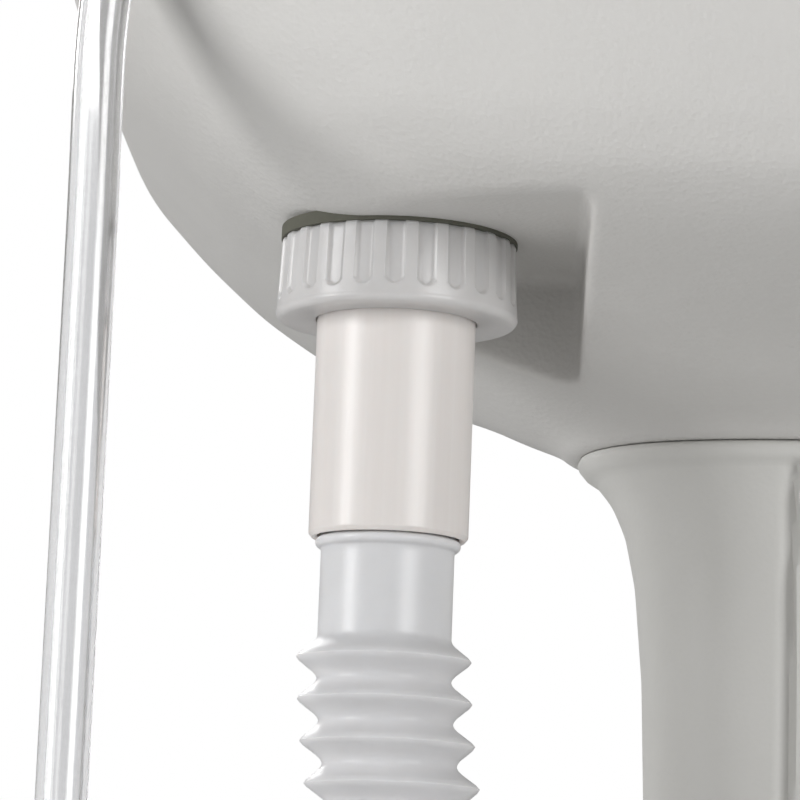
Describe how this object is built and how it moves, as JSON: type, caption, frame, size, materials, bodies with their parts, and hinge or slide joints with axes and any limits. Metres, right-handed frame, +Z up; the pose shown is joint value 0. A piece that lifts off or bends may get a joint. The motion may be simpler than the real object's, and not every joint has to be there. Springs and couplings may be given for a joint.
{
  "type": "portable handwash sink",
  "caption": "Free-standing handwash sink: wheeled tank base with foot pump, oval pedestal, moulded basin, corner drain with bellows hose, swivel spout.",
  "frame": {"origin": "centre of the footprint, on the floor", "axes": "+Z up, the user stands on the -Y side, the drain, the faucet and the hoses are in the rear corner on the +X side"},
  "size_m": [0.456, 0.3948, 1.032],
  "materials": {
    "grey_hdpe": "fine leather grain from the mould",
    "bowl_hdpe": "satin inside, fine grain outside",
    "tank_hdpe": "fine leather grain from the mould",
    "white_pvc": "glossy extruded PVC",
    "milky_pp": "satin translucent moulding",
    "milky_ldpe": "translucent blown bellows",
    "clear_pvc": "clear flexible PVC",
    "black_rubber": "matte",
    "black_plastic": "satin, lightly textured",
    "wheel_plastic": "satin hub, matte tread",
    "blue_cap": "satin with grip ribs",
    "steel": "satin stainless",
    "white_plastic": "satin",
    "chrome": "polished",
    "brass": "satin",
    "bottle_plastic": "satin"
  },
  "bodies": {
    "frame": {"base_tank": "tank_hdpe", "front_feet": "black_rubber", "axle": "steel", "axle_caps": "black_plastic", "waste_grommet": "black_rubber", "pump_housing": "black_plastic", "pump_gasket": "black_rubber", "pump_screws": "steel", "pump_spring": "steel", "pump_gaiter": "black_rubber", "inlet_valve": "black_rubber", "outlet_valve": "black_rubber", "suction_strainer": "white_plastic", "feed_pipe": "white_plastic", "deck_barb": "white_plastic", "column": "grey_hdpe", "column_foot_screws": "steel", "column_top_screws": "steel", "basin_shell": "grey_hdpe", "basin_bowl": "bowl_hdpe", "shell_screws": "steel", "drain_body": "steel", "bowl_gasket": "black_rubber", "pad_gasket": "black_rubber", "drain_nut": "milky_pp", "slip_washer": "black_rubber", "tailpipe": "white_pvc", "hose_seal": "black_rubber", "drain_hose": "milky_ldpe", "supply_hose": "clear_pvc", "hose_clamps": "steel", "faucet_body": "chrome", "faucet_washer": "black_rubber", "faucet_nut": "brass"},
    "wheel_left_body": {"wheel_left": "wheel_plastic"},
    "wheel_right_body": {"wheel_right": "wheel_plastic"},
    "filler_cap_body": {"filler_cap": "blue_cap", "filler_gasket": "black_rubber"},
    "waste_cap_body": {"waste_cap": "black_plastic", "waste_gasket": "black_rubber"},
    "pedal_body": {"pump_pedal": "black_plastic", "pump_piston": "white_plastic", "piston_seal": "black_rubber"},
    "strainer_body": {"strainer": "steel"},
    "spout_body": {"spout": "chrome", "spout_ring": "black_rubber", "aerator": "chrome"},
    "soap_body": {"soap_bottle": "bottle_plastic", "soap_collar": "white_plastic", "soap_spring": "steel", "soap_tube": "white_plastic"},
    "soap_head_body": {"soap_head": "white_plastic"}
  },
  "joints": [
    {"name": "left_wheel_spin", "type": "hinge", "parent": "frame", "child": "wheel_left_body", "pos_m": [-0.194, 0.1568, 0.04], "axis": [1, 0, 0], "continuous": true},
    {"name": "right_wheel_spin", "type": "hinge", "parent": "frame", "child": "wheel_right_body", "pos_m": [0.194, 0.1568, 0.04], "axis": [1, 0, 0], "continuous": true},
    {"name": "pedal_press", "type": "slide", "parent": "frame", "child": "pedal_body", "axis": [0, 0, -1], "range_m": [0, 0.025], "stiffness_N_per_m": 1200, "springref_m": -0.012, "deforming": ["pump_spring", "pump_gaiter"]},
    {"name": "spout_swivel", "type": "hinge", "parent": "frame", "child": "spout_body", "pos_m": [0.10502, 0.16801, 0.862], "axis": [0, 0, 1], "range_deg": [-70, 75]},
    {"name": "filler_cap_off", "type": "slide", "parent": "frame", "child": "filler_cap_body", "axis": [0, 0, 1], "range_m": [0, 0.03]},
    {"name": "waste_cap_off", "type": "slide", "parent": "frame", "child": "waste_cap_body", "axis": [0, 1, 0], "range_m": [0, 0.03]},
    {"name": "strainer_out", "type": "slide", "parent": "frame", "child": "strainer_body", "axis": [0, 0, 1], "range_m": [0, 0.03]},
    {"name": "soap_bottle_off", "type": "slide", "parent": "frame", "child": "soap_body", "axis": [0, 0, 1], "range_m": [0, 0.03]},
    {"name": "soap_press", "type": "slide", "parent": "soap_body", "child": "soap_head_body", "axis": [0, 0, -1], "range_m": [0, 0.01], "stiffness_N_per_m": 300, "springref_m": -0.005, "deforming": ["soap_spring"]}
  ]
}
